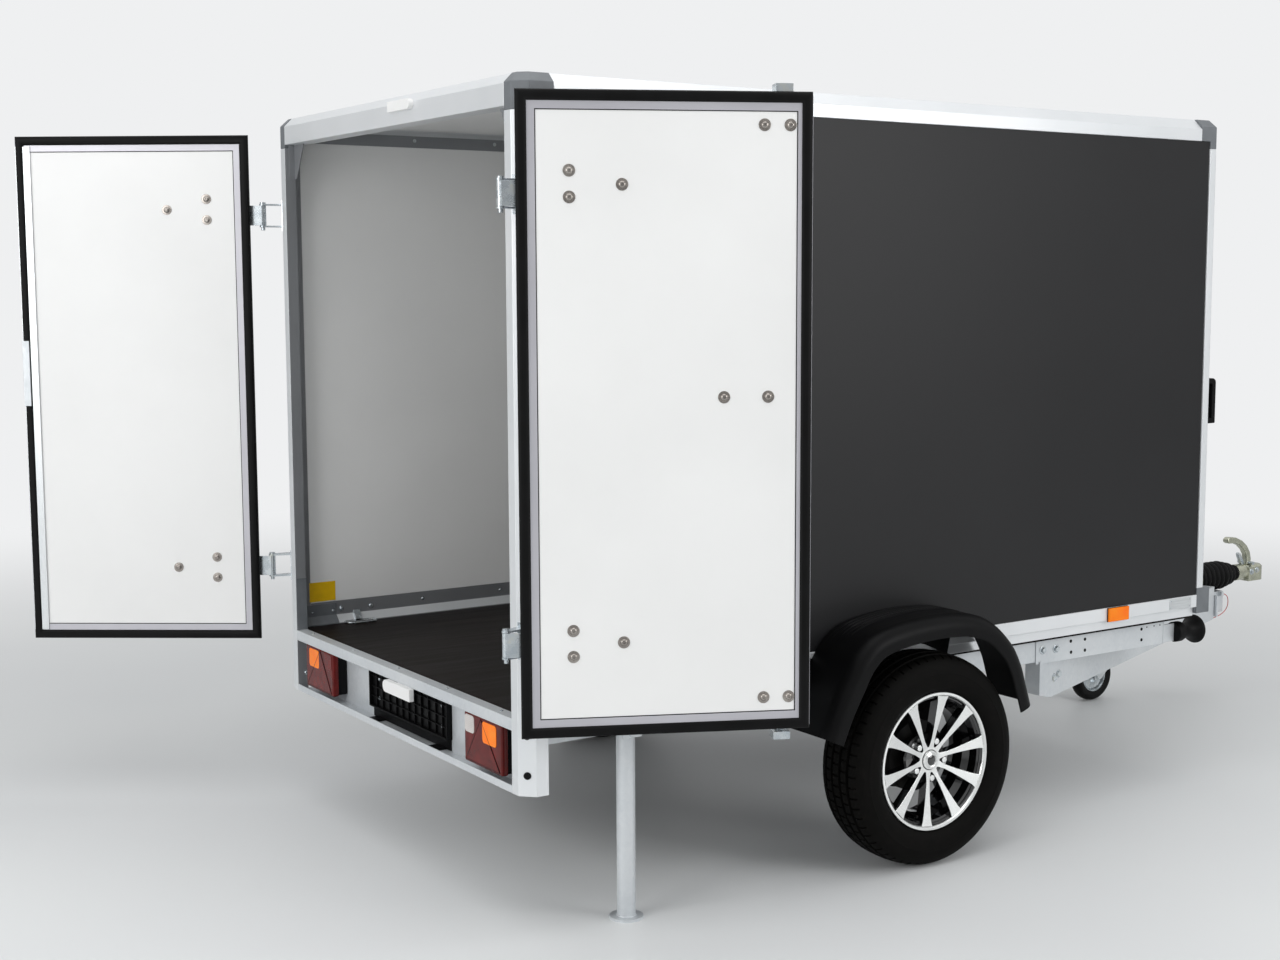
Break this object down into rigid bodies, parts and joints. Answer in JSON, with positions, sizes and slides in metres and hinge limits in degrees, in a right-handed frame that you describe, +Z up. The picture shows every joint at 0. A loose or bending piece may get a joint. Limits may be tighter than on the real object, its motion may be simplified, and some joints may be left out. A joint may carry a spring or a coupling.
{
  "type": "enclosed cargo trailer",
  "caption": "Single-axle box trailer: hollow aluminium-framed body with two wide-open rear doors, V-drawbar with ball coupling, jockey wheel, mudguards and a rear prop stand.",
  "frame": {"origin": "centre of the tow ball socket in the coupling head, 0.485 m above the floor the trailer stands on", "axes": "+X to the trailer's right seen from behind, +Y forward in the direction of travel, +Z up"},
  "size_m": [2.3502, 4.6108, 2.189],
  "materials": {
    "galvanised_steel": "zinc coated, satin",
    "aluminium": "white anodised, satin",
    "black_sheet": "smooth black outer skin, semi matt",
    "white_board": "smooth white inner skin",
    "floor_ply": "brown film faced plywood, mesh pattern",
    "grey_plastic": "moulded, matt",
    "black_plastic": "moulded, ribbed",
    "rubber": "soft, matt",
    "red_pvc": "red sheathed cable",
    "tyre": "treaded road tyre",
    "alloy_rim": "machined faces on gloss black",
    "cast_iron": "bare casting",
    "zinc_fitting": "bright zinc plated",
    "red_lens": "moulded lamp lens",
    "amber_lens": "moulded reflector"
  },
  "bodies": {
    "chassis": {"side_members": "galvanised_steel", "cross_members": "galvanised_steel", "drawbar_beams": "galvanised_steel", "axle_beam": "galvanised_steel", "swing_arms": "cast_iron", "floor_panel": "floor_ply", "rear_sill": "galvanised_steel", "light_beam": "galvanised_steel", "posts_rear": "aluminium", "posts_front": "aluminium", "corner_caps": "grey_plastic", "front_feet": "grey_plastic", "header_rear": "aluminium", "header_front": "aluminium", "roof_rails": "aluminium", "roof_panel": "aluminium", "sill_rails": "aluminium", "wall_left": "black_sheet", "wall_right": "black_sheet", "wall_front": "black_sheet", "hinge_brackets": "zinc_fitting", "lock_keepers": "white_board", "tail_lamp_left": "red_lens", "tail_lamp_right": "red_lens", "plate_holder": "black_plastic", "side_reflectors": "amber_lens", "marker_lamps": "black_plastic", "grab_handles": "black_plastic", "mudguard_left": "black_plastic", "mudguard_right": "black_plastic", "overrun_housing": "galvanised_steel", "breakaway_cable": "red_pvc", "bellows": "rubber", "coupling_head": "zinc_fitting", "coupling_handle": "zinc_fitting", "handbrake_lever": "zinc_fitting", "jockey_tube": "galvanised_steel", "jockey_clamp": "galvanised_steel", "prop_bracket": "galvanised_steel"},
    "wheel_left": {"tyre_left": "tyre", "rim_left": "alloy_rim", "brake_drum_left": "cast_iron"},
    "wheel_right": {"tyre_right": "tyre", "rim_right": "alloy_rim", "brake_drum_right": "cast_iron"},
    "door_left": {"door_left_panel": "white_board", "door_left_frame": "aluminium", "door_left_seal": "rubber", "door_left_hinges": "zinc_fitting", "door_left_strike": "zinc_fitting"},
    "door_right": {"door_right_panel": "white_board", "door_right_frame": "aluminium", "door_right_seal": "rubber", "door_right_hinges": "zinc_fitting", "lock_rod": "zinc_fitting", "rod_guides": "zinc_fitting"},
    "jockey_caster": {"jockey_fork": "galvanised_steel"},
    "jockey_wheel": {"jockey_rim": "galvanised_steel", "jockey_tyre": "rubber"},
    "prop_stand": {"prop_stand": "galvanised_steel"}
  },
  "joints": [
    {"name": "wheel_left_spin", "type": "hinge", "parent": "chassis", "child": "wheel_left", "pos_m": [-0.868, -2.619, -0.176], "axis": [1, 0, 0], "continuous": true},
    {"name": "wheel_right_spin", "type": "hinge", "parent": "chassis", "child": "wheel_right", "pos_m": [0.868, -2.619, -0.176], "axis": [1, 0, 0], "continuous": true},
    {"name": "door_left_hinge", "type": "hinge", "parent": "chassis", "child": "door_left", "pos_m": [-0.776, -3.92, 0.845], "axis": [0, 0, -1], "range_deg": [-125, 140]},
    {"name": "door_right_hinge", "type": "hinge", "parent": "chassis", "child": "door_right", "pos_m": [0.776, -3.92, 0.845], "axis": [0, 0, 1], "range_deg": [-245, 15]},
    {"name": "jockey_swivel", "type": "hinge", "parent": "chassis", "child": "jockey_caster", "pos_m": [-0.235, -0.57, -0.285], "axis": [0, 0, 1], "continuous": true},
    {"name": "jockey_wheel_spin", "type": "hinge", "parent": "jockey_caster", "child": "jockey_wheel", "pos_m": [-0.235, -0.685, -0.385], "axis": [1, 0, 0], "continuous": true},
    {"name": "prop_stand_fold", "type": "hinge", "parent": "chassis", "child": "prop_stand", "pos_m": [0.79, -3.575, 0.02], "axis": [1, 0, 0], "range_deg": [0, 90]}
  ]
}
